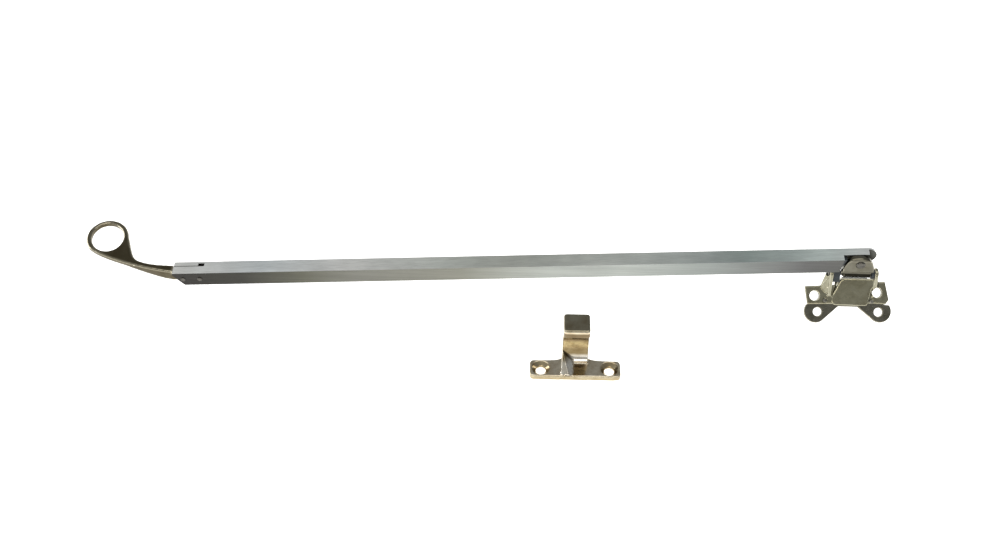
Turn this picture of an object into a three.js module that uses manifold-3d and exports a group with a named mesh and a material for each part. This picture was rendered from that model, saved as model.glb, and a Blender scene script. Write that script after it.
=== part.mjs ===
// A casement window stay and its keeper, laid flat as they come out of the box.
//
// The stay is a folded steel channel, 308 mm long, with a cast finger ring riveted into one end.
// At its other end the channel pivots on a rivet through a swivel block, and the block tilts on a
// pin between the two lugs of a bracket that screws to the sash. The keeper is a loose hook on a
// foot plate, which screws to the frame and holds the channel in its throat.
//
// Millimetres, +Z up. X runs along the channel towards the bracket, and -Y is its open front side.
// The parts are drawn about the channel's pivot, then moved so that the origin is at the middle of
// the set's footprint, on the surface it lies on.
import * as THREE from "three";
import { ConvexGeometry } from "three/addons/geometries/ConvexGeometry.js";
import { mergeVertices } from "three/addons/utils/BufferGeometryUtils.js";
import Module from "manifold-3d";

const wasm = await Module();
wasm.setup();

// ---- driving dimensions -------------------------------------------------------------------
const ROUND = 28; // sides of a round piece
const FIT = 0.15; // gap between pieces that sit against each other
const RUN = 0.2; // radial gap round a pin or rivet

const CHANNEL = {
  left: -300.6, // its free end, from the pivot
  right: 7.5, // its rounded end past the pivot
  depth: 7,
  height: 7.5,
  wall: 1,
  webEnd: 3.8, // the web stops here, and only the back wall goes on round the pivot
  mouthTop: -7.1, // the front wall and half the web are cut away from this slanting line on
  mouthBottom: -8.5,
  mouthDepth: 3,
};
const INCLINE = THREE.MathUtils.degToRad(4.4); // the channel rises towards the bracket
const RIVET = { shank: 1.45, head: 2.1, headHeight: 0.45, tail: 2.4, tailHeight: 0.6 };
const RING_RIVET = { at: [-296.4, -288.8], shank: 0.8, head: 1.15, headHeight: 0.25 };

const BLOCK = { front: 0.4, back: 2.7, bevel: 0.6, bottom: -5, barrelLeft: -5.8, barrelRight: 6 };

const AXIS = { y: 2.7, z: -7.7 }; // the tilt pin's centre line
const PIN = { shank: 0.95, head: 1.25, headHeight: 0.3 };
const BARREL = 1.75; // radius of the block's knuckle
const BUSH = 2.15;
const SKIRT = 4; // how far the left bush reaches down from the pin
const LEAN = THREE.MathUtils.degToRad(42); // the bracket leans back this far from lying flat

// Across the bracket: x along the tilt pin, v up the plates and n out from the sash, all from the
// pin's centre line. The hinge bracket sits a little askew on the back plate.
const BACK_PLATE = {
  back: -5.5, // the mounting face
  front: -3.85,
  lobes: [
    { x: -16.3, v: -17, radius: 5 },
    { x: 11.5, v: -16.2, radius: 4.9 },
  ],
  screwHoles: [
    [-15.5, -17.2],
    [10.8, -16.6],
  ],
  screwRadius: 1.9,
};
const EARS = { back: -3.7, front: -2.5, rim: 0.5, screwRadius: 2.15 };
const EAR_HOLES = [
  [-17.2, -10.2],
  [9.7, -8.1],
];
const PLATE_RIVETS = [
  [-12.6, -12.1],
  [7.5, -12],
];
const BOSS = { slope: THREE.MathUtils.degToRad(17), bottom: -14.4, thick: 2.4, bevel: 0.5 };
const LUGS = [
  { inside: -10.2, outside: -11.7, braceFoot: -14.8 },
  { inside: 7.5, outside: 9, braceFoot: 10.2 },
];
const LUG_RADIUS = 2.6;

const KEEPER = {
  x: -120.7,
  turn: THREE.MathUtils.degToRad(1.1),
  frontY: -46.2,
  width: 38.4,
  depth: 8.8,
  thick: 2.6,
  postHalf: 5.5,
  headDepth: 10,
  lip: 4.8, // the head's front is this far behind the foot's front edge
  height: 26.2,
  holeAt: 14.45,
  hole: 2.05,
  countersink: 3.9,
};

// ---- colours ------------------------------------------------------------------------------
const finish = (color, roughness, metalness) =>
  new THREE.MeshStandardMaterial({ color, roughness, metalness });
const satinSteel = finish(0xa9b0ae, 0.4, 1);
const nickelPlate = finish(0x8f8c78, 0.22, 1);
const darkNickel = finish(0x5c5444, 0.2, 1);
const paleNickel = finish(0x8d8069, 0.2, 1);
const brightPin = finish(0xc9c7bd, 0.25, 1);
const blackNylon = finish(0x1b2226, 0.6, 0);

// ---- solids: three.js geometry in, three.js geometry out ------------------------------------
function solid(geometry) {
  const bare = geometry.index ? geometry.toNonIndexed() : geometry.clone();
  bare.deleteAttribute("normal");
  bare.deleteAttribute("uv");
  const merged = mergeVertices(bare, 1e-4);
  return new wasm.Manifold(
    new wasm.Mesh({
      numProp: 3,
      vertProperties: merged.attributes.position.array,
      triVerts: new Uint32Array(merged.index.array),
    }),
  );
}

function geometryOf(body) {
  const mesh = body.getMesh();
  const geometry = new THREE.BufferGeometry();
  geometry.setAttribute("position", new THREE.BufferAttribute(mesh.vertProperties, 3));
  geometry.setIndex(new THREE.BufferAttribute(mesh.triVerts, 1));
  geometry.computeVertexNormals();
  return geometry;
}

const join = (first, ...rest) => rest.reduce((all, next) => all.add(next), first);
const cut = (first, ...rest) => rest.reduce((left, next) => left.subtract(next), first);

function box([x0, x1], [y0, y1], [z0, z1]) {
  const shape = new THREE.BoxGeometry(x1 - x0, y1 - y0, z1 - z0);
  return solid(shape.translate((x0 + x1) / 2, (y0 + y1) / 2, (z0 + z1) / 2));
}

function cylinder(axis, radius, [from, to], [a, b] = [0, 0], endRadius = radius) {
  const shape = new THREE.CylinderGeometry(endRadius, radius, to - from, ROUND);
  shape.translate(0, (from + to) / 2, 0);
  if (axis === "x") shape.rotateZ(-Math.PI / 2).translate(0, a, b);
  if (axis === "y") shape.translate(a, 0, b);
  if (axis === "z") shape.rotateX(Math.PI / 2).translate(a, b, 0);
  return solid(shape);
}

// The shape's points, without any that repeat the one before.
function outlineOf(shape, segments = 12) {
  const { shape: outer, holes } = shape.extractPoints(segments);
  const distinct = (points) =>
    points.filter((p, i) => p.distanceTo(points[(i + 1) % points.length]) > 0.01);
  const outline = new THREE.Shape(distinct(outer));
  outline.holes = holes.map((points) => new THREE.Path(distinct(points)));
  return outline;
}

// A shape drawn in x and y, standing from z0 to z1, with its upper rim bevelled.
function slab(shape, [z0, z1], bevel = 0) {
  const options = { depth: z1 - z0, bevelEnabled: false };
  if (bevel > 0) {
    Object.assign(options, {
      depth: z1 - z0 - bevel,
      bevelEnabled: true,
      bevelThickness: bevel,
      bevelSize: bevel,
      bevelOffset: -bevel,
      bevelSegments: 3,
    });
  }
  const outline = outlineOf(shape);
  const whole = solid(new THREE.ExtrudeGeometry(outline, options).translate(0, 0, z0));
  if (bevel === 0) return whole;
  return cut(whole, box([-400, 400], [-400, 400], [z0 - bevel - 1, z0]));
}

// The same, drawn in x and z and standing from y1 forward to y0.
function standing(shape, [y0, y1], bevel = 0) {
  const made = geometryOf(slab(shape, [-y1, -y0], bevel));
  return solid(made.rotateX(Math.PI / 2));
}

// A profile drawn in y and z, running from x0 to x1.
function along(shape, [x0, x1]) {
  const options = { depth: x1 - x0, bevelEnabled: false };
  const made = new THREE.ExtrudeGeometry(outlineOf(shape), options);
  made.rotateX(Math.PI / 2).rotateZ(Math.PI / 2).translate(x0, 0, 0);
  return solid(made);
}

const polygon = (points) => new THREE.Shape(points.map(([x, y]) => new THREE.Vector2(x, y)));
const hull = (points) => solid(new ConvexGeometry(points.map((p) => new THREE.Vector3(...p))));

function piece(name, body, material) {
  const mesh = new THREE.Mesh(geometryOf(body), material);
  mesh.name = name;
  return mesh;
}

// ---- the arm: channel, finger ring, rivets, liner -------------------------------------------
const half = CHANNEL.height / 2;
const inner = { front: CHANNEL.wall, back: CHANNEL.depth - CHANNEL.wall, top: half - CHANNEL.wall };

function channel() {
  const { left, right, depth, mouthTop, mouthBottom, mouthDepth, webEnd } = CHANNEL;
  const outside = box([left, right], [0, depth], [-half, half]);
  const trough = box([left - 1, right + 1], [inner.front, inner.back], [-half - 1, inner.top]);
  const nose = polygon([
    [left - 1, half - 1.2],
    [left, half - 1.2],
    [left + 4.2, -half],
    [left + 4.2, -half - 1],
    [left - 1, -half - 1],
  ]);
  const mouth = polygon([
    [mouthTop, half + 1],
    [mouthTop, half],
    [mouthBottom, -half],
    [mouthBottom, -half - 1],
    [right + 1, -half - 1],
    [right + 1, half + 1],
  ]);
  // The back wall ends in a half circle round (right - half, 0).
  const square = box([right - half, right + 1], [-1, depth + 1], [-half - 1, half + 1]);
  const end = cut(square, cylinder("y", half, [-2, depth + 2], [right - half, 0]));
  const slit = box([left - 1, left + 11.2], [4.3, 4.6], [inner.top - 1, half + 1]);
  const notch = box([left + 11, left + 13.8], [4.3, inner.back], [inner.top - 1, half + 1]);
  return cut(
    outside,
    trough,
    standing(nose, [-1, depth + 1]),
    standing(mouth, [-1, mouthDepth]),
    box([webEnd, right + 1], [-1, inner.back], [-half - 1, half + 1]),
    end,
    slit,
    notch,
    cylinder("y", RIVET.shank + RUN, [0, depth + 1]),
    ...RING_RIVET.at.map((x) => cylinder("y", RING_RIVET.shank + RUN, [-1, depth + 1], [x, 0])),
  );
}

// The finger ring is a leaning oval, joined by a fillet to a stem that thickens towards the channel.
const RING = { centre: [-335.8, 24], long: 11.2, short: 9.6, lean: THREE.MathUtils.degToRad(119) };
const FINGER = { long: 9.1, short: 7.2, shift: [0, 0.1] };
const STEM = { top: 3.6, ringThickness: 2.7, rootThickness: 5.6, end: -300.9 };

function onRing(angle) {
  const [cx, cy] = RING.centre;
  const [a, b] = [RING.long * Math.cos(angle), RING.short * Math.sin(angle)];
  const [c, s] = [Math.cos(RING.lean), Math.sin(RING.lean)];
  return [cx + a * c - b * s, cy + a * s + b * c];
}

function ringOutline() {
  const [cx, cy] = RING.centre;
  const from = THREE.MathUtils.degToRad(-112);
  const to = THREE.MathUtils.degToRad(98);
  const near = onRing(to);
  const shape = new THREE.Shape();
  shape.moveTo(STEM.end, 1.3);
  shape.lineTo(STEM.end, 5.7);
  shape.bezierCurveTo(-308, 6.1, -315, 7, -319.2, 9.8);
  shape.bezierCurveTo(-322, 12.2, -323.4, 18.2, ...onRing(from));
  shape.absellipse(cx, cy, RING.long, RING.short, from, to, false, RING.lean);
  shape.bezierCurveTo(near[0] + 3.4, near[1] - 3.6, -331, 10.4, -322.6, 7.3);
  shape.bezierCurveTo(-315.5, 4.7, -307.5, 2.4, STEM.end, 1.3);
  const finger = new THREE.Path();
  const [dx, dy] = FINGER.shift;
  finger.absellipse(cx + dx, cy + dy, FINGER.long, FINGER.short, 0, 2 * Math.PI, true, RING.lean);
  shape.holes.push(finger);
  return shape;
}

function fingerRing() {
  const body = slab(ringOutline(), [STEM.top - STEM.rootThickness, STEM.top]);
  const under = STEM.top - STEM.ringThickness;
  const root = STEM.top - STEM.rootThickness;
  const taper = polygon([
    [-400, root - 1],
    [STEM.end - 4, root - 1],
    [STEM.end - 4, root],
    [-324, under],
    [-400, under],
  ]);
  const tang = box([STEM.end - 1, -284], [1.3, 5.7], [STEM.top - STEM.rootThickness, inner.top - 0.3]);
  return cut(
    join(cut(body, standing(taper, [-5, 60])), tang),
    ...RING_RIVET.at.map((x) => cylinder("y", RING_RIVET.shank + RUN, [0, 8], [x, 0])),
  );
}

function ringRivet(x) {
  const { shank, head, headHeight } = RING_RIVET;
  const [front, back] = [-0.1, CHANNEL.depth + 0.1];
  return join(
    cylinder("y", shank, [front - 0.05, back + 0.05], [x, 0]),
    cylinder("y", head - 0.2, [front - headHeight, front], [x, 0], head),
    cylinder("y", head, [back, back + headHeight], [x, 0], head - 0.2),
  );
}

// A nylon block that stands out of the channel's mouth, in the gap beside the swivel block.
function mouthLiner() {
  const outline = polygon([
    [CHANNEL.mouthTop - 9, inner.top - 0.25],
    [CHANNEL.mouthTop + 1.4, inner.top - 0.25],
    [CHANNEL.mouthBottom + 0.5, -half + 0.6],
    [CHANNEL.mouthTop - 9, -half + 0.6],
  ]);
  return standing(outline, [inner.front + 0.25, inner.back - 0.25]);
}

function arm() {
  const group = new THREE.Group();
  group.rotation.y = -INCLINE;
  group.add(
    piece("arm_channel", channel(), satinSteel),
    piece("finger_ring", fingerRing(), darkNickel),
    piece("ring_rivet_outer", ringRivet(RING_RIVET.at[0]), brightPin),
    piece("ring_rivet_inner", ringRivet(RING_RIVET.at[1]), brightPin),
    piece("mouth_liner", mouthLiner(), blackNylon),
  );
  return group;
}

// ---- the swivel: block, pivot rivet, washers ------------------------------------------------
// A thick tab with an arched top, whose left flank runs down to the knuckle on the tilt pin.
function swivelBlock() {
  const { front, back, bevel, bottom, barrelLeft, barrelRight } = BLOCK;
  const tab = new THREE.Shape();
  tab.moveTo(-7, bottom);
  tab.lineTo(6.6, bottom);
  tab.bezierCurveTo(6.5, -1.5, 5.2, 1.6, 3, 2.9);
  tab.bezierCurveTo(1.2, 4, -2.2, 4, -3.9, 3);
  tab.bezierCurveTo(-5.6, 1.9, -6.8, -1.6, -7, bottom);
  const flank = polygon([
    [-7, bottom + 0.8],
    [-4.8, bottom + 0.8],
    [-4.8, AXIS.z - 1],
    [barrelLeft, AXIS.z - 1],
    [-7.2, AXIS.z + 0.4],
  ]);
  const neck = box([barrelLeft, barrelRight], [back - 1.4, back], [AXIS.z, bottom + 1]);
  const barrel = cylinder("x", BARREL, [barrelLeft, barrelRight], [AXIS.y, AXIS.z]);
  return cut(
    join(standing(tab, [front, back], bevel), standing(flank, [1.4, back]), neck, barrel),
    cylinder("x", PIN.shank + RUN, [-9, 9], [AXIS.y, AXIS.z]),
    cylinder("y", RIVET.shank + RUN, [front - 1, back + 1]),
  );
}

function pivotRivet() {
  const face = BLOCK.front - 0.1;
  const tailAt = CHANNEL.depth + FIT;
  return join(
    cylinder("y", RIVET.shank, [face - 0.1, tailAt + 0.1]),
    cylinder("y", RIVET.head - 0.5, [face - RIVET.headHeight, face], [0, 0], RIVET.head),
    cylinder("y", RIVET.tail, [tailAt, tailAt + RIVET.tailHeight], [0, 0], RIVET.tail - 0.5),
  );
}

function washer(radius, [from, to]) {
  const bore = cylinder("y", RIVET.shank + RUN, [from - 1, to + 1]);
  return cut(cylinder("y", radius, [from, to]), bore);
}

function swivel() {
  const group = new THREE.Group();
  const split = inner.back - 1.1;
  group.add(
    piece("swivel_block", swivelBlock(), nickelPlate),
    piece("pivot_rivet", pivotRivet(), brightPin),
    piece("friction_washer", washer(2.7, [BLOCK.back + FIT, split]), blackNylon),
    piece("spring_washer", washer(2.7, [split + FIT, inner.back - FIT]), brightPin),
  );
  return group;
}

// ---- the bracket: back plate, hinge bracket, rivets, tilt pin, bushes ------------------------
function backPlate() {
  const { back, front, lobes, screwHoles, screwRadius } = BACK_PLATE;
  const [left, right] = lobes;
  const [foot, shoulder] = [57, 35].map(THREE.MathUtils.degToRad);
  const shape = new THREE.Shape();
  shape.moveTo(-6.6, -14.6);
  shape.lineTo(1.8, -14.6);
  shape.absarc(right.x, right.v, right.radius, foot - Math.PI, shoulder, false);
  shape.lineTo(13, -13.2);
  shape.lineTo(11.6, -4.6);
  shape.lineTo(-19.4, -7);
  shape.lineTo(-19.6, -14);
  shape.absarc(left.x, left.v, left.radius, Math.PI - shoulder, 2 * Math.PI - foot, false);
  shape.closePath();
  const span = [back - 1, front + 1];
  return cut(
    slab(shape, [back, front]),
    ...screwHoles.map((at) => cylinder("z", screwRadius, span, at)),
    ...EAR_HOLES.map((at) => cylinder("z", EARS.screwRadius, span, at)),
    ...PLATE_RIVETS.map((at) => cylinder("z", 0.6 + RUN, span, at)),
  );
}

const EAR_OUTLINES = [
  [
    [-21.6, -6.2],
    [-20.2, -14.1],
    [-8, -13.6],
    [-8, -5.2],
  ],
  [
    [4, -12.9],
    [13.6, -13.1],
    [15, -11.2],
    [13.1, -3.2],
    [4, -3.8],
  ],
];

// A tapered slab under the boss sheet, which the sheet and the lugs stand on.
function core() {
  const { back } = EARS;
  const [top, bottom] = [-2.6, -13.6];
  return hull([
    [-8.6, bottom, back],
    [5.4, bottom, back],
    [-8.6, bottom, back + 1],
    [5.4, bottom, back + 1],
    [-8.6, top, back],
    [9, top, back],
    [-6.2, top, -1],
    [8.2, top, -1],
    [-8.2, -8, -2.2],
    [6.4, -8, -2.2],
  ]);
}

// The smooth front sheet, which slopes up from the plates' lower edge to the knuckle.
function bossSheet() {
  const { slope, bottom, thick, bevel } = BOSS;
  const shape = new THREE.Shape();
  shape.moveTo(-7.6, 0.2);
  shape.lineTo(4.8, 0.2);
  shape.bezierCurveTo(6, 0.2, 6.1, 1.6, 6.2, 3);
  shape.lineTo(6.9, 7.6);
  shape.lineTo(8.5, 11.2);
  shape.lineTo(8.7, 12.8);
  shape.lineTo(-4.2, 12.8);
  shape.bezierCurveTo(-6.1, 12.7, -7, 11.9, -7.6, 10);
  shape.lineTo(-9.4, 5.6);
  shape.bezierCurveTo(-9.9, 4.2, -9.8, 2.6, -9.8, 1.6);
  shape.bezierCurveTo(-9.7, 0.7, -9, 0.2, -7.6, 0.2);
  const sheet = geometryOf(slab(shape, [-thick, 0], bevel));
  return solid(sheet.rotateX(slope).translate(0, bottom, EARS.back + 0.8));
}

// A cheek that holds the tilt pin, braced on its outer side down to the ear.
function lug({ inside, outside, braceFoot }) {
  const side = Math.sign(outside - inside);
  const cheek = [];
  for (const x of [inside, outside]) {
    for (let i = 0; i < ROUND; i += 1) {
      const angle = (2 * Math.PI * i) / ROUND;
      cheek.push([x, LUG_RADIUS * Math.cos(angle), LUG_RADIUS * Math.sin(angle)]);
    }
    cheek.push([x, -10.5, EARS.back], [x, -9.8, EARS.front + 0.4], [x, -3, EARS.back]);
  }
  const brace = [
    [inside, -9.5, EARS.back + 0.2],
    [inside, -3.4, EARS.back + 0.2],
    [outside, 1.6, -1.2],
    [outside, -1.6, 1.4],
    [outside, -8.6, -1.8],
    [outside + side * 0.6, 1.4, -0.8],
    [braceFoot, -8.6, EARS.back + 0.2],
    [braceFoot, -5.9, EARS.back + 0.2],
    [braceFoot, -6.4, EARS.front],
  ];
  return join(hull(cheek), hull(brace));
}

function hingeBracket() {
  const { back, front, rim, screwRadius } = EARS;
  const ears = EAR_OUTLINES.map((points) => slab(polygon(points), [back, front], rim));
  const span = [back - 1, 1];
  const pinBore = cylinder("x", PIN.shank + RUN, [-20, 20]);
  const headSeat = cylinder("x", PIN.head + RUN, [-20, LUGS[0].outside]);
  const tailSeat = cylinder("x", PIN.head + RUN, [LUGS[1].outside, 20]);
  const room = join(
    cylinder("x", BUSH + 0.3, [LUGS[0].inside, LUGS[1].inside]),
    box([LUGS[0].inside, BLOCK.barrelLeft - 1.2], [-SKIRT - 0.3, 0], [-1.3, 3]),
  );
  const behind = box([-40, 40], [-40, 40], [back - 20, back]);
  return cut(
    join(...ears, cut(join(core(), bossSheet()), room), ...LUGS.map(lug)),
    ...EAR_HOLES.map((at) => cylinder("z", screwRadius, span, at)),
    ...PLATE_RIVETS.map((at) => cylinder("z", 0.6 + RUN, span, at)),
    ...PLATE_RIVETS.map((at) => cylinder("z", 1.2, [front + 0.05, 3], at)),
    pinBore,
    headSeat,
    tailSeat,
    behind,
  );
}

function plateRivet(at) {
  return join(
    cylinder("z", 0.6, [BACK_PLATE.back + 0.1, EARS.front + 0.2], at),
    cylinder("z", 1, [EARS.front + 0.12, EARS.front + 0.5], at, 0.7),
  );
}

// A pin peened over a little at both ends.
function tiltPin() {
  const [from, to] = [LUGS[0].outside - FIT, LUGS[1].outside + FIT];
  const { shank, head, headHeight } = PIN;
  return join(
    cylinder("x", shank, [from - 0.1, to + 0.1]),
    cylinder("x", head - 0.2, [from - headHeight, from], [0, 0], head),
    cylinder("x", head, [to, to + headHeight], [0, 0], head - 0.2),
  );
}

// A nylon bush. The left one has a skirt that fills the gap down to the boss.
function bush([from, to], skirt = 0) {
  const bore = cylinder("x", PIN.shank + RUN, [from - 1, to + 1]);
  if (skirt === 0) return cut(cylinder("x", BUSH, [from, to]), bore);
  const shape = new THREE.Shape();
  shape.absarc(0, 0, BUSH, -Math.PI / 2, Math.PI / 2, false);
  shape.lineTo(-skirt, 0.6);
  shape.lineTo(-skirt, -1);
  shape.closePath();
  return cut(along(shape, [from, to]), bore);
}

function bracket() {
  const group = new THREE.Group();
  group.position.set(0, AXIS.y, AXIS.z);
  group.rotation.x = LEAN;
  group.add(
    piece("back_plate", backPlate(), nickelPlate),
    piece("hinge_bracket", hingeBracket(), nickelPlate),
    piece("plate_rivet_left", plateRivet(PLATE_RIVETS[0]), brightPin),
    piece("plate_rivet_right", plateRivet(PLATE_RIVETS[1]), brightPin),
    piece("tilt_pin", tiltPin(), brightPin),
    piece("bush_left", bush([LUGS[0].inside + FIT, BLOCK.barrelLeft - 1.5], SKIRT), blackNylon),
    piece("bush_right", bush([BLOCK.barrelRight + FIT, LUGS[1].inside - FIT]), blackNylon),
  );
  return group;
}

// ---- the keeper -----------------------------------------------------------------------------
// Drawn about the middle of its foot's front edge.
function keeperFoot() {
  const { width, depth, thick, postHalf, headDepth, lip } = KEEPER;
  const w = width / 2;
  const r = 1.8;
  const postBack = lip + headDepth;
  const shape = new THREE.Shape();
  shape.moveTo(-w + r, 0);
  shape.lineTo(w - r, 0);
  shape.absarc(w - r, r, r, -Math.PI / 2, 0, false);
  shape.absarc(w - r, depth - r, r, 0, Math.PI / 2, false);
  shape.bezierCurveTo(postHalf + 2, depth, postHalf + 0.4, depth + 0.4, postHalf, depth + 2);
  shape.lineTo(postHalf, postBack);
  shape.lineTo(-postHalf, postBack);
  shape.lineTo(-postHalf, depth + 2);
  shape.bezierCurveTo(-postHalf - 0.4, depth + 0.4, -postHalf - 2, depth, -w + r, depth);
  shape.absarc(-w + r, depth - r, r, Math.PI / 2, Math.PI, false);
  shape.absarc(-w + r, r, r, Math.PI, Math.PI * 1.5, false);
  return slab(shape, [0, thick], 0.5);
}

// The post and the head above it, with the throat between the head and the foot.
function keeperHook() {
  const { depth, thick, postHalf, headDepth, lip, height } = KEEPER;
  const postBack = lip + headDepth;
  const side = new THREE.Shape();
  side.moveTo(postBack, 0.2);
  side.lineTo(postBack, height);
  side.lineTo(lip - 0.1, height);
  side.lineTo(lip - 0.1, height - 4.2);
  side.bezierCurveTo(lip + 2.6, height - 5, depth + 0.9, height - 7.5, depth + 1, height - 11);
  side.bezierCurveTo(depth + 1.1, height - 15, depth + 0.6, thick + 3, depth - 1.6, thick + 1.2);
  side.lineTo(depth - 2, 0.2);
  side.closePath();
  const r = 1.1;
  const plan = new THREE.Shape();
  plan.absarc(postHalf - r, lip + r, r, -Math.PI / 2, 0, false);
  plan.absarc(postHalf - r, postBack - r, r, 0, Math.PI / 2, false);
  plan.absarc(-postHalf + r, postBack - r, r, Math.PI / 2, Math.PI, false);
  plan.absarc(-postHalf + r, lip + r, r, Math.PI, Math.PI * 1.5, false);
  plan.closePath();
  return along(side, [-postHalf, postHalf]).intersect(slab(plan, [0, height], 0.8));
}

// The gusset: a ridge from the foot's front edge, whose left face climbs the post's corner.
function keeperRidge() {
  const { depth, thick, postHalf } = KEEPER;
  return hull([
    [-postHalf + 0.1, depth - 0.3, 8.6],
    [-postHalf + 0.1, depth + 1.2, 8.6],
    [-1.1, depth - 1.8, 4.7],
    [-1.1, depth + 0.5, 4.7],
    [-2.9, 0.3, 3.35],
    [-6.2, 0.7, thick - 0.3],
    [-0.9, 0.7, thick - 0.3],
    [-0.7, depth - 1.4, thick - 0.3],
    [-postHalf + 0.1, depth + 0.5, thick - 0.3],
  ]);
}

function keeperBody() {
  const { depth, thick, holeAt, hole, countersink } = KEEPER;
  const holes = [-holeAt, holeAt].flatMap((x) => {
    const at = [x, depth / 2];
    return [
      cylinder("z", hole, [-1, thick + 1], at),
      cylinder("z", hole, [thick - 1.7, thick + 0.01], at, countersink),
    ];
  });
  return cut(join(keeperFoot(), keeperHook(), keeperRidge()), ...holes);
}

// ---- the set, standing on its lowest point ----------------------------------------------------
const stay = new THREE.Group();
stay.add(arm(), swivel(), bracket());
const floor = new THREE.Box3().setFromObject(stay, true).min.z;
const keeper = piece("keeper", keeperBody(), paleNickel);
keeper.position.set(KEEPER.x, KEEPER.frontY, floor);
keeper.rotation.z = KEEPER.turn;

const set = new THREE.Group();
set.add(stay, keeper);
const extent = new THREE.Box3().setFromObject(set, true);
const middle = extent.getCenter(new THREE.Vector3());
set.position.set(-middle.x, -middle.y, -floor);

export default set;
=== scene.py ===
"""A casement window stay and its keeper, in the looks of the real thing.

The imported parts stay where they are. The castings, plates, rivets and pins get soft, buffed edges
from modifiers. The channel, liner, washers and bushes keep the frame's own sharp edges. Each piece
gets a procedural metal or nylon. Metres throughout.
"""

import math

import bpy
from mathutils import Matrix, Vector


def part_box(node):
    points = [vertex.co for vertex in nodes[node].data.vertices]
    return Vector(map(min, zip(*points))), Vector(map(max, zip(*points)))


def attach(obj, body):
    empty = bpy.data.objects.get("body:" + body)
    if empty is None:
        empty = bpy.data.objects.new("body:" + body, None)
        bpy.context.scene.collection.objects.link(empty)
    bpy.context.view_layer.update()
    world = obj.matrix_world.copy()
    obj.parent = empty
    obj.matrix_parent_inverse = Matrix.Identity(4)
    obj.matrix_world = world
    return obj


MM = 0.001
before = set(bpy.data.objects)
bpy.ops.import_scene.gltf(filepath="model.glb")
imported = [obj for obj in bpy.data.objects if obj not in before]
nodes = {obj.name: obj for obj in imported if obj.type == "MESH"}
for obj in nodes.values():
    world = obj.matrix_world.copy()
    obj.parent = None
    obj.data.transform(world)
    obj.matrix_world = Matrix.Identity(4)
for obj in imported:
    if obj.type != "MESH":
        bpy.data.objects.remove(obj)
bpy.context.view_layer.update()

# ---- places taken from the frame ------------------------------------------------------------
rivet_low, rivet_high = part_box("pivot_rivet")
arm_low, arm_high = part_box("arm_channel")
PIVOT = Vector(((rivet_low.x + rivet_high.x) / 2, arm_low.y, (rivet_low.z + rivet_high.z) / 2))
INCLINE = math.radians(4.4)  # the channel rises towards the bracket
LEAN = math.radians(42)  # the bracket's plates lie this far over

# ---- the camera -----------------------------------------------------------------------------
ELEVATION = math.radians(48)
YAW = math.radians(2.45)
LENS = 50
SENSOR_WIDTH = 36
CLIP_START = 10 * MM
DISTANCE = 600 * MM
TARGET = PIVOT + Vector((-156.6, 0, -11.9)) * MM  # the middle of the view

# ---- the room -------------------------------------------------------------------------------
FLOOR_HALF = 3.0
FLOOR_DROP = 0.1 * MM  # keeps the floor clear of the parts' undersides
FLOOR_COLOR = (0.93, 0.93, 0.93, 1)
FLOOR_ROUGHNESS = 0.95
FLOOR_GLOW = 1.0

FRONT_SHARE = 0.55  # how much front to back counts in the room's tone, beside left to right
ROOM_TONES = [
    (0.1, (0.62, 0.63, 0.6)),
    (0.4, (0.5, 0.5, 0.47)),
    (0.62, (0.44, 0.45, 0.44)),
    (0.85, (0.37, 0.38, 0.38)),
]

# name, place, size, watts, colour, aim
LIGHTS = [
    ("overhead", (-0.1, -0.1, 1.1), (0.8, 1.5), 6, (1.0, 0.98, 0.93), (-0.101, -0.1, 0)),
    ("left_window", (-1.1, 0.3, 0.2), (0.8, 0.4), 6, (0.96, 0.98, 1.0), (0, 0, 0)),
    ("front_strip", (-0.1, -1.13, 0.62), (1.3, 0.12), 3, (1.0, 0.93, 0.8), (0, 0, 0)),
]

# ---- painted reflections along the channel, from its ring end (0) to its pivot end (1), and painted shade on its back wall ---
FRONT_WALL_PAINTED_REFLECTIONS = [
    (0.0, (0.037, 0.035, 0.033)),
    (0.1, (0.048, 0.047, 0.042)),
    (0.19, (0.11, 0.11, 0.088)),
    (0.27, (0.18, 0.18, 0.16)),
    (0.42, (0.21, 0.21, 0.18)),
    (0.56, (0.37, 0.39, 0.37)),
    (0.64, (0.36, 0.38, 0.36)),
    (0.76, (0.25, 0.27, 0.26)),
    (0.9, (0.12, 0.12, 0.12)),
    (1.0, (0.097, 0.097, 0.088)),
]
WEB_PAINTED_REFLECTIONS = [
    (0.0, (0.97, 0.97, 0.97)),
    (0.13, (0.81, 0.86, 0.90)),
    (0.25, (0.97, 0.97, 0.97)),
    (0.39, (0.76, 0.79, 0.76)),
    (0.48, (0.64, 0.66, 0.62)),
    (0.64, (0.76, 0.79, 0.76)),
    (0.76, (0.61, 0.66, 0.65)),
    (0.82, (0.46, 0.53, 0.52)),
    (0.93, (0.84, 0.93, 0.91)),
    (1.0, (0.97, 0.97, 0.97)),
]
# the back wall's flat darker tone is painted shade
BACK_WALL_PAINTED_SHADE = (0.3, 0.31, 0.3)
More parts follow.
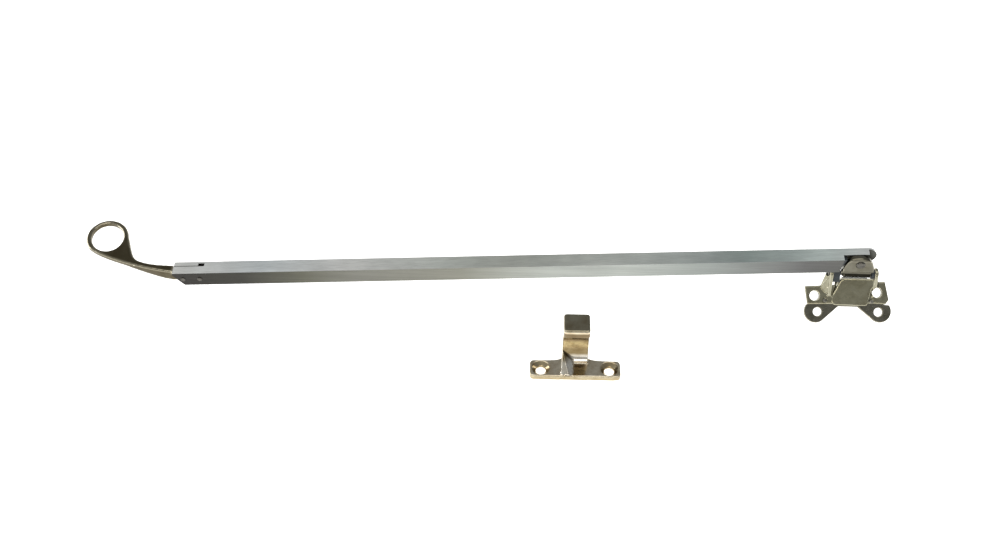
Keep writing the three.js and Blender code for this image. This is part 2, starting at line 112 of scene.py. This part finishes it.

# ---- painted shade and highlights up a piece, by height above the floor; on the keeper they lie over its own brassy hue ---
# swivel: painted shade low down, by the slit under the tab, and painted highlights on its arched top
SWIVEL_PAINTED_SHADE_AND_HIGHLIGHTS = [
    (17 * MM, (0.05, 0.05, 0.05)),
    (19.8 * MM, (0.08, 0.08, 0.07)),
    (20.5 * MM, (0.62, 0.62, 0.6)),
    (27.6 * MM, (0.7, 0.7, 0.68)),
    (28.5 * MM, (1, 1, 1)),
    (29.2 * MM, (0.4, 0.4, 0.38)),
    (30.3 * MM, (0.9, 0.9, 0.88)),
]
# keeper: bands of painted highlight and painted shade, over the plating's own brassy hue
KEEPER_HUE_AND_PAINTED_HIGHLIGHTS = [
    (0 * MM, (0.52, 0.45, 0.3)),
    (2.4 * MM, (0.56, 0.5, 0.38)),
    (3.0 * MM, (0.92, 0.92, 0.94)),
    (5.5 * MM, (0.8, 0.8, 0.8)),
    (7 * MM, (0.3, 0.25, 0.15)),
    (9.5 * MM, (0.34, 0.28, 0.17)),
    (10.5 * MM, (0.5, 0.41, 0.24)),
    (13 * MM, (0.7, 0.6, 0.36)),
    (15 * MM, (0.26, 0.2, 0.12)),
    (17 * MM, (0.64, 0.52, 0.28)),
    (19.5 * MM, (0.22, 0.17, 0.1)),
    (24.3 * MM, (0.24, 0.19, 0.12)),
    (25.1 * MM, (1.0, 0.92, 0.76)),
    (25.7 * MM, (0.34, 0.33, 0.28)),
    (26.2 * MM, (0.32, 0.31, 0.26)),
]

# ---- painted highlights on the plating's sharp edges ---------------------------------------------
# bright rims painted along sharp edges stand in for highlights
CAST_EDGE_HIGHLIGHT = (0.512, 0.56)  # how sharp an edge begins, and ends, to take the painted highlight
ROUND_EDGE_HIGHLIGHT = (0.504, 0.53)  # the same for the ring, whose edges are rounder
EDGE_HIGHLIGHT_COLOR = (0.95, 0.88, 0.7)
EDGE_HIGHLIGHT_BRIGHTNESS = 0.85
EDGE_HIGHLIGHT_TINT = 0.75  # how far the painted highlight goes from the plate's colour to the highlight colour
EDGE_HIGHLIGHT_COVER = 0.75  # how much of the painted highlight the sharpest edge shows

# ---- softening: voxel size and smoothing passes --------------------------------------------------
BUFFING = 0.6
SOFTENED = {
    "finger_ring": (0.24 * MM, 60),
    "keeper": (0.22 * MM, 10),
    "hinge_bracket": (0.2 * MM, 4),
    "back_plate": (0.2 * MM, 3),
    "swivel_block": (0.16 * MM, 4),
    "ring_rivet_outer": (0.07 * MM, 6),
    "ring_rivet_inner": (0.07 * MM, 6),
    "plate_rivet_left": (0.07 * MM, 6),
    "plate_rivet_right": (0.07 * MM, 6),
    "pivot_rivet": (0.09 * MM, 6),
    "tilt_pin": (0.09 * MM, 6),
}
SMOOTH_SHADED = (
    "arm_channel",
    "mouth_liner",
    "friction_washer",
    "spring_washer",
    "bush_left",
    "bush_right",
)

# ---- the dark strip behind the boss's upper edge, painted shade in the slit under the tab --------
STRIP_MIDDLE = Vector((0, 7.75, 15.75)) * MM
STRIP_LEFT = 158.4 * MM
STRIP_RIGHT = 169.4 * MM
STRIP_HALF_WIDTH = 0.9 * MM
STRIP_THICKNESS = 0.7 * MM
STRIP_TAPER = 0.8  # the ribbed face's width, as a share of the base's
STRIP_EDGE = 0.12 * MM
STRIP_STEPS = 24
RIBS = 4
RIB_HEIGHT = 0.25 * MM

# ---- sockets of Blender's colour Mix node ---------------------------------------------------------
MIX_INPUTS = (0, 6, 7)  # factor, A, B
MIX_RESULT = 2


def link_to_scene(name, data):
    piece = bpy.data.objects.new(name, data)
    bpy.context.scene.collection.objects.link(piece)
    return piece


def add_camera():
    data = bpy.data.cameras.new("camera")
    data.lens = LENS
    data.sensor_width = SENSOR_WIDTH
    data.clip_start = CLIP_START
    camera = link_to_scene("camera", data)
    back = Vector(
        (
            math.sin(YAW) * math.cos(ELEVATION),
            -math.cos(YAW) * math.cos(ELEVATION),
            math.sin(ELEVATION),
        )
    )
    right = Vector((math.cos(YAW), math.sin(YAW), 0))
    up = back.cross(right)
    turn = Matrix((right, up, back)).transposed()
    camera.matrix_world = Matrix.Translation(TARGET + back * DISTANCE) @ turn.to_4x4()
    bpy.context.scene.camera = camera


def add_floor():
    mesh = bpy.data.meshes.new("floor")
    corners = [(-1, -1), (1, -1), (1, 1), (-1, 1)]
    mesh.from_pydata([(x * FLOOR_HALF, y * FLOOR_HALF, 0) for x, y in corners], [], [(0, 1, 2, 3)])
    floor = link_to_scene("floor", mesh)
    floor.location.z = -FLOOR_DROP
    material = bpy.data.materials.new("floor_paper")
    material.use_nodes = True
    shader = material.node_tree.nodes["Principled BSDF"]
    shader.inputs["Base Color"].default_value = FLOOR_COLOR
    shader.inputs["Roughness"].default_value = FLOOR_ROUGHNESS
    shader.inputs["Specular IOR Level"].default_value = 0.0
    shader.inputs["Emission Color"].default_value = (1, 1, 1, 1)
    shader.inputs["Emission Strength"].default_value = FLOOR_GLOW
    mesh.materials.append(material)


def add_area(name, place, size, energy, color, aim):
    data = bpy.data.lights.new(name, "AREA")
    data.shape = "RECTANGLE"
    data.size, data.size_y = size
    data.energy = energy
    data.color = color
    light = link_to_scene(name, data)
    light.location = place
    light.rotation_euler = (Vector(aim) - Vector(place)).to_track_quat("-Z", "Y").to_euler()


def add_world():
    """A dim room, lighter on the left and behind the camera."""
    world = bpy.data.worlds.new("studio")
    world.use_nodes = True
    tree = world.node_tree
    where = tree.nodes.new("ShaderNodeTexCoord")
    split = tree.nodes.new("ShaderNodeSeparateXYZ")
    ramp = tree.nodes.new("ShaderNodeValToRGB")
    shift = tree.nodes.new("ShaderNodeMath")
    shift.operation = "MULTIPLY_ADD"
    shift.inputs[1].default_value = 0.5
    shift.inputs[2].default_value = 0.5
    tree.links.new(where.outputs["Generated"], split.inputs[0])
    front = tree.nodes.new("ShaderNodeMath")
    front.operation = "MULTIPLY_ADD"
    front.inputs[1].default_value = FRONT_SHARE
    tree.links.new(split.outputs["Y"], front.inputs[0])
    tree.links.new(split.outputs["X"], front.inputs[2])
    tree.links.new(front.outputs[0], shift.inputs[0])
    tree.links.new(shift.outputs[0], ramp.inputs[0])
    set_ramp(ramp, ROOM_TONES)
    background = tree.nodes["Background"]
    tree.links.new(ramp.outputs[0], background.inputs["Color"])
    background.inputs["Strength"].default_value = 1.0
    bpy.context.scene.world = world


def add_lights():
    add_world()
    for light in LIGHTS:
        add_area(*light)
    bpy.context.scene.view_settings.view_transform = "Standard"


# ---- material building ------------------------------------------------------------------------
def set_ramp(ramp, stops):
    elements = ramp.color_ramp.elements
    while len(elements) < len(stops):
        elements.new(0.5)
    for element, (position, color) in zip(elements, stops):
        element.position = position
        element.color = (*color, 1)


def shade(color, factor):
    return tuple(channel * factor for channel in color)


class Material:
    """A principled material whose inputs are fed by small named steps."""

    def __init__(self, name, color, metallic, roughness):
        self.material = bpy.data.materials.new(name)
        self.material.use_nodes = True
        self.tree = self.material.node_tree
        self.shader = self.tree.nodes["Principled BSDF"]
        self.shader.inputs["Base Color"].default_value = (*color, 1)
        self.shader.inputs["Metallic"].default_value = metallic
        self.shader.inputs["Roughness"].default_value = roughness
        self.where = self.add("ShaderNodeTexCoord")

    def add(self, kind, **values):
        node = self.tree.nodes.new(kind)
        for key, value in values.items():
            setattr(node, key, value)
        return node

    def link(self, source, target):
        self.tree.links.new(source, target)

    def split(self, output):
        """X, Y and Z of the object's own coordinates ("Object") or its normal ("Normal")."""
        node = self.add("ShaderNodeSeparateXYZ")
        self.link(self.where.outputs[output], node.inputs[0])
        return node.outputs

    def noise(self, scale, stretch=(1, 1, 1), turn=(0, 0, 0), detail=4, rough=0.5):
        place = self.add("ShaderNodeMapping")
        place.inputs["Scale"].default_value = stretch
        place.inputs["Rotation"].default_value = turn
        self.link(self.where.outputs["Object"], place.inputs["Vector"])
        noise = self.add("ShaderNodeTexNoise")
        noise.inputs["Scale"].default_value = scale
        noise.inputs["Detail"].default_value = detail
        noise.inputs["Roughness"].default_value = rough
        self.link(place.outputs[0], noise.inputs["Vector"])
        return noise.outputs[0]

    def remap(self, value, low, high, from_low=0.3, from_high=0.7):
        node = self.add("ShaderNodeMapRange")
        node.inputs["From Min"].default_value = from_low
        node.inputs["From Max"].default_value = from_high
        node.inputs["To Min"].default_value = low
        node.inputs["To Max"].default_value = high
        self.link(value, node.inputs["Value"])
        return node.outputs[0]

    def ramp(self, value, stops):
        node = self.add("ShaderNodeValToRGB")
        set_ramp(node, stops)
        self.link(value, node.inputs[0])
        return node.outputs[0]

    def mix(self, kind, factor, a, b):
        node = self.add("ShaderNodeMix", data_type="RGBA", blend_type=kind)
        for index, value in zip(MIX_INPUTS, (factor, a, b)):
            socket = node.inputs[index]
            if isinstance(value, bpy.types.NodeSocket):
                self.link(value, socket)
            elif isinstance(value, tuple):
                socket.default_value = (*value, 1)
            else:
                socket.default_value = value
        return node.outputs[MIX_RESULT]

    def darken(self, color, value, darkest, share):
        """Multiplies a colour by a pattern that runs from a grey to white."""
        grey = (darkest, darkest, darkest)
        pattern = self.ramp(value, [(0.3, grey), (0.7, (1, 1, 1))])
        return self.mix("MULTIPLY", share, color, pattern)

    def bump(self, *layers):
        """Each layer is (height value, depth in metres)."""
        normal = None
        for height, depth in layers:
            node = self.add("ShaderNodeBump")
            node.inputs["Distance"].default_value = depth
            self.link(height, node.inputs["Height"])
            if normal is not None:
                self.link(normal, node.inputs["Normal"])
            normal = node.outputs[0]
        self.link(normal, self.shader.inputs["Normal"])

    def finish(self, color, roughness):
        self.link(color, self.shader.inputs["Base Color"])
        self.link(roughness, self.shader.inputs["Roughness"])
        return self.material


def satin_steel():
    """Brushed along the channel, with painted reflections along its front wall and web and painted
    shade on its back wall.
    """
    m = Material("satin_steel", (0.6, 0.63, 0.63), 1, 0.36)
    turn = (0, -INCLINE, 0)
    streaks = m.noise(1, stretch=(28, 2600, 2600), turn=turn, detail=5, rough=0.65)
    bands = m.noise(1, stretch=(6, 500, 500), turn=turn, detail=3, rough=0.5)
    smudges = m.noise(90, detail=5)
    along = m.remap(m.split("Object")["X"], 0, 1, arm_low.x, arm_high.x)
    # Painted reflections along the front wall and the web, by place along the channel.
    front = m.ramp(along, FRONT_WALL_PAINTED_REFLECTIONS)
    web = m.ramp(along, WEB_PAINTED_REFLECTIONS)
    facing = m.split("Normal")["Y"]
    is_front = m.remap(facing, 1, 0, -0.9, -0.4)
    is_back = m.remap(facing, 0, 1, 0.4, 0.9)
    # The back wall gets a flat painted shade.
    tone = m.mix("MIX", is_front, m.mix("MIX", is_back, web, BACK_WALL_PAINTED_SHADE), front)
    color = m.darken(tone, streaks, darkest=0.6, share=0.55)
    color = m.darken(color, bands, darkest=0.7, share=0.35)
    m.bump((streaks, 0.02 * MM), (smudges, 0.004 * MM))
    return m.finish(color, m.remap(smudges, 0.3, 0.42))


def plated(name, color, roughness, tarnish, waves, heights=None, edge_highlight=CAST_EDGE_HIGHLIGHT):
    """Buffed plate on a casting: slow waves, fine wheel marks, darker patches and painted highlights
    on its sharp edges.

    tarnish is the darker patches' share of the colour, and waves scales the slow waves.
    heights, where given, are (height, tint) stops of painted shade and highlights up the piece,
    which on the keeper also carry its brassy hue.
    The last argument is how sharp an edge begins, and ends, to take the painted highlight.
    """
    m = Material(name, color, 1, roughness)
    slow = m.noise(130, detail=2)
    marks = m.noise(1, stretch=(900, 2600, 1500), turn=(0.3, 0.5, 0.2), detail=4, rough=0.6)
    patches = m.noise(210, detail=5, rough=0.6)
    grains = m.noise(2600, detail=3)
    dark = tuple(c * t for c, t in zip(color, tarnish))
    tone = m.ramp(patches, [(0.34, dark), (0.62, color)])
    # Painted shade and highlights by height up the piece.
    if heights:
        base, crown = heights[0][0], heights[-1][0]
        height = m.remap(m.split("Object")["Z"], 0, 1, base, crown)
        stops = [((level - base) / (crown - base), tint) for level, tint in heights]
        tone = m.mix("MULTIPLY", 1.0, tone, m.ramp(height, stops))
    # Painted highlight along the sharp edges, found by pointiness.
    sharpness = m.add("ShaderNodeNewGeometry").outputs["Pointiness"]
    edges = m.remap(sharpness, 0, EDGE_HIGHLIGHT_COVER, *edge_highlight)
    bright = tuple(c + (EDGE_HIGHLIGHT_BRIGHTNESS * w - c) * EDGE_HIGHLIGHT_TINT for c, w in zip(color, EDGE_HIGHLIGHT_COLOR))
    tone = m.mix("MIX", edges, tone, bright)
    m.bump((slow, 0.22 * MM * waves), (marks, 0.004 * MM), (grains, 0.003 * MM))
    worn = m.remap(marks, roughness * 0.75, roughness * 1.5)
    return m.finish(tone, worn)


def turned_steel(name, color):
    m = Material(name, color, 1, 0.25)
    rings = m.noise(1, stretch=(4000, 1500, 4000), detail=4)
    stains = m.noise(600, detail=4)
    m.bump((rings, 0.008 * MM))
    tone = m.ramp(stains, [(0.35, shade(color, 0.6)), (0.6, color)])
    return m.finish(tone, m.remap(rings, 0.18, 0.36))


def nylon():
    m = Material("black_nylon", (0.012, 0.017, 0.022), 0, 0.5)
    grain = m.noise(3200, detail=4)
    flow = m.noise(1, stretch=(300, 1200, 900), detail=3)
    m.bump((grain, 0.01 * MM), (flow, 0.01 * MM))
    tone = m.ramp(flow, [(0.35, (0.008, 0.012, 0.016)), (0.65, (0.02, 0.028, 0.036))])
    return m.finish(tone, m.remap(grain, 0.42, 0.62))


# ---- shapes -------------------------------------------------------------------------------------
def soften(node, voxel, passes):
    """Rounds every edge the way plating and buffing do."""
    piece = nodes[node]
    remesh = piece.modifiers.new("cast_skin", "REMESH")
    remesh.mode = "VOXEL"
    remesh.voxel_size = voxel
    remesh.use_smooth_shade = True
    smooth = piece.modifiers.new("buffing", "SMOOTH")
    smooth.factor = BUFFING
    smooth.iterations = passes


def shape_parts():
    for node, (voxel, passes) in SOFTENED.items():
        soften(node, voxel, passes)
    for node in SMOOTH_SHADED:
        for polygon in nodes[node].data.polygons:
            polygon.use_smooth = True


def strip_points():
    """Four points at each step along the strip: two on its base, two on its ribbed face."""
    lean = Vector((0, -math.sin(LEAN), math.cos(LEAN)))
    up = Vector((0, math.cos(LEAN), math.sin(LEAN)))
    points = []
    for step in range(STRIP_STEPS + 1):
        x = STRIP_LEFT + (STRIP_RIGHT - STRIP_LEFT) * step / STRIP_STEPS
        rib = RIB_HEIGHT * abs(math.sin(math.pi * RIBS * step / STRIP_STEPS))
        face = -STRIP_THICKNESS - rib
        for side, depth in ((-1, 0), (1, 0), (STRIP_TAPER, face), (-STRIP_TAPER, face)):
            across = up * STRIP_HALF_WIDTH * side
            points.append(Vector((x, 0, 0)) + STRIP_MIDDLE + across + lean * depth)
    return points


def strip_faces():
    """Both ends, and four sides between each step and the next."""
    last = 4 * STRIP_STEPS
    faces = [(3, 2, 1, 0), tuple(last + k for k in range(4))]
    for a in range(0, last, 4):
        b = a + 4
        faces += [(a + k, a + (k + 1) % 4, b + (k + 1) % 4, b + k) for k in range(4)]
    return faces


def add_slit_shade_strip(material):
    """A guessed dark strip behind the boss's upper edge, in the black nylon, put there as painted
    shade in the slit under the tab.
    """
    mesh = bpy.data.meshes.new("slit_shade_strip")
    mesh.from_pydata(strip_points(), [], strip_faces())
    mesh.materials.append(material)
    piece = link_to_scene("slit_shade_strip", mesh)
    bevel = piece.modifiers.new("edge", "BEVEL")
    bevel.width = STRIP_EDGE
    bevel.segments = 2
    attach(piece, "bracket")


# ---- which piece wears what ---------------------------------------------------------------------
def dress(material, *names):
    for name in names:
        slots = nodes[name].data.materials
        slots.clear()
        slots.append(material)


def bracket_nickel():
    return plated("nickel_plate", (0.28, 0.27, 0.205), 0.16, (0.74, 0.72, 0.66), 0.35)


def plate_nickel():
    return plated("plate_nickel", (0.17, 0.165, 0.14), 0.2, (0.66, 0.66, 0.62), 0.35)


def keeper_nickel():
    color, tarnish = (0.74, 0.71, 0.65), (0.7, 0.64, 0.56)
    return plated("keeper_nickel", color, 0.14, tarnish, 0.7, KEEPER_HUE_AND_PAINTED_HIGHLIGHTS)


def dark_nickel():
    color, tarnish = (0.085, 0.072, 0.045), (0.7, 0.68, 0.62)
    return plated("dark_nickel", color, 0.13, tarnish, 0.3, edge_highlight=ROUND_EDGE_HIGHLIGHT)


def swivel_nickel():
    color, tarnish = (0.2, 0.19, 0.155), (0.7, 0.68, 0.64)
    return plated("swivel_nickel", color, 0.17, tarnish, 0.35, SWIVEL_PAINTED_SHADE_AND_HIGHLIGHTS)


def dress_parts():
    bright = turned_steel("turned_steel", (0.26, 0.25, 0.22))
    dull = turned_steel("dull_steel", (0.1, 0.095, 0.085))
    black = nylon()
    dress(satin_steel(), "arm_channel")
    dress(dark_nickel(), "finger_ring")
    dress(keeper_nickel(), "keeper")
    dress(bracket_nickel(), "hinge_bracket")
    dress(swivel_nickel(), "swivel_block")
    dress(plate_nickel(), "back_plate")
    dress(dull, "ring_rivet_outer", "ring_rivet_inner", "pivot_rivet")
    dress(bright, "plate_rivet_left", "plate_rivet_right", "tilt_pin", "spring_washer")
    dress(black, "mouth_liner", "friction_washer", "bush_left", "bush_right")
    # a dark strip as painted shade in the slit under the tab
    add_slit_shade_strip(black)


add_camera()
add_floor()
add_lights()
shape_parts()
dress_parts()
